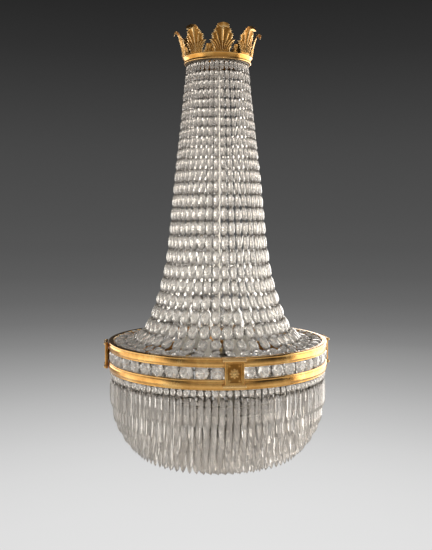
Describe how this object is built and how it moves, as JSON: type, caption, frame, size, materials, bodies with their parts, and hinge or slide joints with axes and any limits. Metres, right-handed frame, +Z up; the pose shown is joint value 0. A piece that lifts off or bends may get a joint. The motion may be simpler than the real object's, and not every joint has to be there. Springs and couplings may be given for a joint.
{
  "type": "crystal chandelier",
  "caption": "Ring-hung chandelier: gilt crown, flared tent of crystal strands, banded gilt hoop with plaques, bowl of hanging prisms and candle lamps inside.",
  "frame": {"origin": "centre of the hanging ring at the top", "axes": "+Z up along the stem, front plaque towards -Y, +X to the right of that plaque"},
  "size_m": [0.5186, 0.5186, 1.0031],
  "materials": {
    "gilt": "gilded, satin with burnished edges",
    "inner_frame": "silvered brass, tarnished",
    "crystal": "cut and polished, clear",
    "polished_stem": "polished",
    "fixings": "plain turned",
    "holder": "gloss",
    "block": "matt",
    "lamp_glass": "clear",
    "lamp_cap": "bright"
  },
  "bodies": {
    "hanging_ring": {"hanging_ring": "gilt"},
    "chandelier": {"band_stones": "crystal", "basket_hub": "inner_frame", "basket_ribs": "inner_frame", "bottom_nut": "gilt", "central_stem": "polished_stem", "crown_band": "gilt", "crown_buds": "gilt", "crown_leaves": "gilt", "crown_screws": "fixings", "edge_lozenges": "crystal", "hoop_ovals": "crystal", "lamp_holders": "holder", "lamp_hub_nut": "fixings", "lamp_nipples": "fixings", "lamp_spider": "inner_frame", "lower_hoop": "gilt", "nipple_nuts": "fixings", "plaque_brackets": "inner_frame", "plaque_screws": "fixings", "plaques": "gilt", "prisms_tier_01": "crystal", "prisms_tier_02": "crystal", "prisms_tier_03": "crystal", "prisms_tier_04": "crystal", "prisms_tier_05": "crystal", "prisms_tier_06": "crystal", "prisms_tier_07": "crystal", "prisms_tier_08": "crystal", "prisms_tier_09": "crystal", "prisms_tier_10": "crystal", "prisms_tier_11": "crystal", "ring_spider": "inner_frame", "spider_nut_lower": "fixings", "spider_nut_upper": "fixings", "stem_coupler": "polished_stem", "strand_hoop": "inner_frame", "strands_back": "crystal", "strands_front": "crystal", "strands_left": "crystal", "strands_right": "crystal", "suspension_eye": "gilt", "terminal_block": "block", "tier_hoops": "inner_frame", "top_hoop": "gilt", "top_spider": "inner_frame"},
    "lamp_1": {"bulb_cap_1": "lamp_cap", "bulb_glass_1": "lamp_glass"},
    "lamp_2": {"bulb_cap_2": "lamp_cap", "bulb_glass_2": "lamp_glass"},
    "lamp_3": {"bulb_cap_3": "lamp_cap", "bulb_glass_3": "lamp_glass"},
    "lamp_4": {"bulb_cap_4": "lamp_cap", "bulb_glass_4": "lamp_glass"},
    "lamp_5": {"bulb_cap_5": "lamp_cap", "bulb_glass_5": "lamp_glass"},
    "lamp_6": {"bulb_cap_6": "lamp_cap", "bulb_glass_6": "lamp_glass"}
  },
  "joints": [
    {"name": "ring_swing", "type": "hinge", "parent": "hanging_ring", "child": "chandelier", "pos_m": [0, 0, -0.014], "axis": [1, 0, 0], "range_deg": [-90, 90]},
    {"name": "lamp_1_turn", "type": "hinge", "parent": "chandelier", "child": "lamp_1", "pos_m": [0.07, 0, -0.674], "axis": [0, 0, 1], "range_deg": [0, 1080]},
    {"name": "lamp_2_turn", "type": "hinge", "parent": "chandelier", "child": "lamp_2", "pos_m": [0.035, 0.06062, -0.674], "axis": [0, 0, 1], "range_deg": [0, 1080]},
    {"name": "lamp_3_turn", "type": "hinge", "parent": "chandelier", "child": "lamp_3", "pos_m": [-0.035, 0.06062, -0.674], "axis": [0, 0, 1], "range_deg": [0, 1080]},
    {"name": "lamp_4_turn", "type": "hinge", "parent": "chandelier", "child": "lamp_4", "pos_m": [-0.07, 0, -0.674], "axis": [0, 0, 1], "range_deg": [0, 1080]},
    {"name": "lamp_5_turn", "type": "hinge", "parent": "chandelier", "child": "lamp_5", "pos_m": [-0.035, -0.06062, -0.674], "axis": [0, 0, 1], "range_deg": [0, 1080]},
    {"name": "lamp_6_turn", "type": "hinge", "parent": "chandelier", "child": "lamp_6", "pos_m": [0.035, -0.06062, -0.674], "axis": [0, 0, 1], "range_deg": [0, 1080]}
  ]
}
